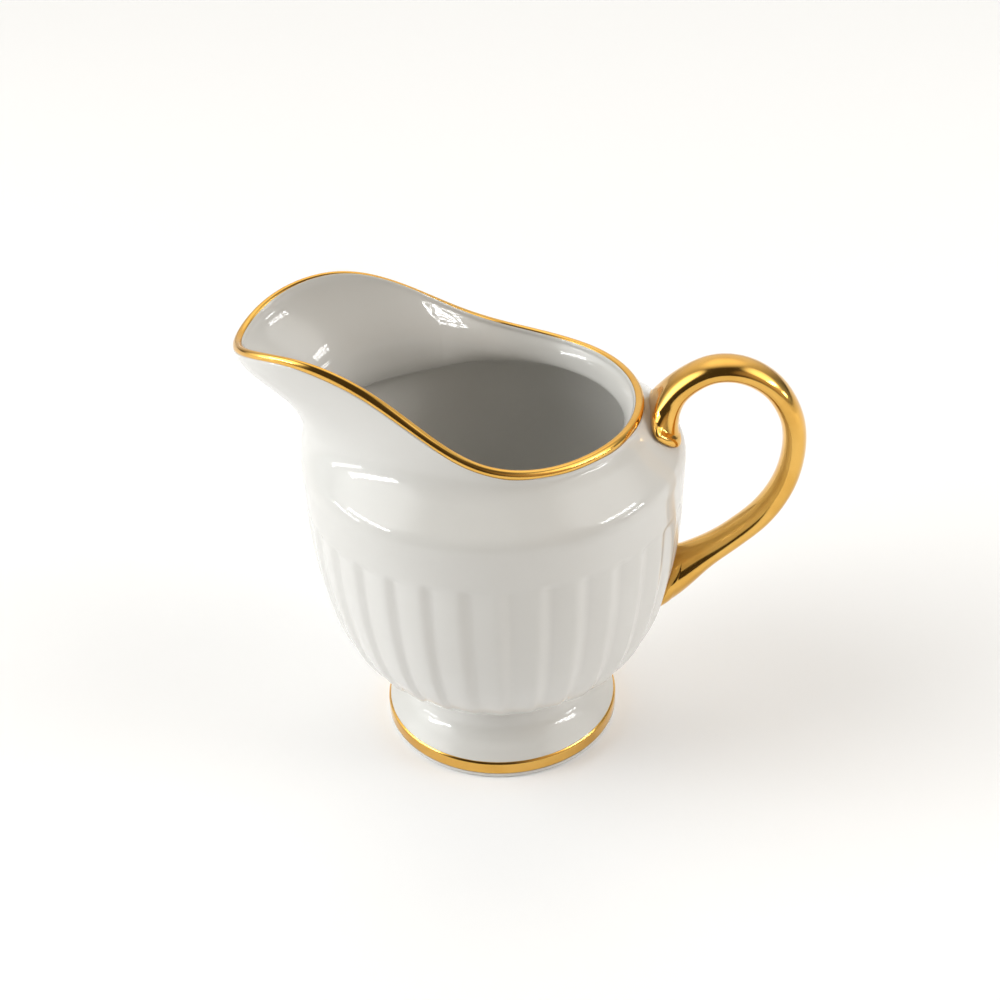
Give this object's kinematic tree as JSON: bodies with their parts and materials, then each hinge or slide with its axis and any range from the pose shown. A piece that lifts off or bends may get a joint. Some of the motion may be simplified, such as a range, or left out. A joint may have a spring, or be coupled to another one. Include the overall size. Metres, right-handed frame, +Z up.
{
  "type": "cream jug",
  "caption": "Porcelain cream jug on a round pedestal foot, with a rising spout, pleated bowl, loop handle and gilded rim, foot edge and handle.",
  "frame": {"origin": "middle of the jug's length and width, on the surface that it stands on", "axes": "+Z up; +X towards the handle, with the spout on the -X side; the XZ plane is the plane of symmetry"},
  "size_m": [0.123, 0.085, 0.1062],
  "materials": {
    "porcelain": "clear glossy glaze over white porcelain",
    "slip": "fired slip under the glaze",
    "gold": "bright fired gold lustre"
  },
  "bodies": {
    "root": {"jug_body": "porcelain", "pedestal_foot": "porcelain", "foot_joint_slip": "slip", "handle": "porcelain", "handle_top_slip": "slip", "handle_bottom_slip": "slip", "handle_gilding": "gold", "rim_gilding": "gold", "foot_gilding": "gold"}
  },
  "joints": []
}
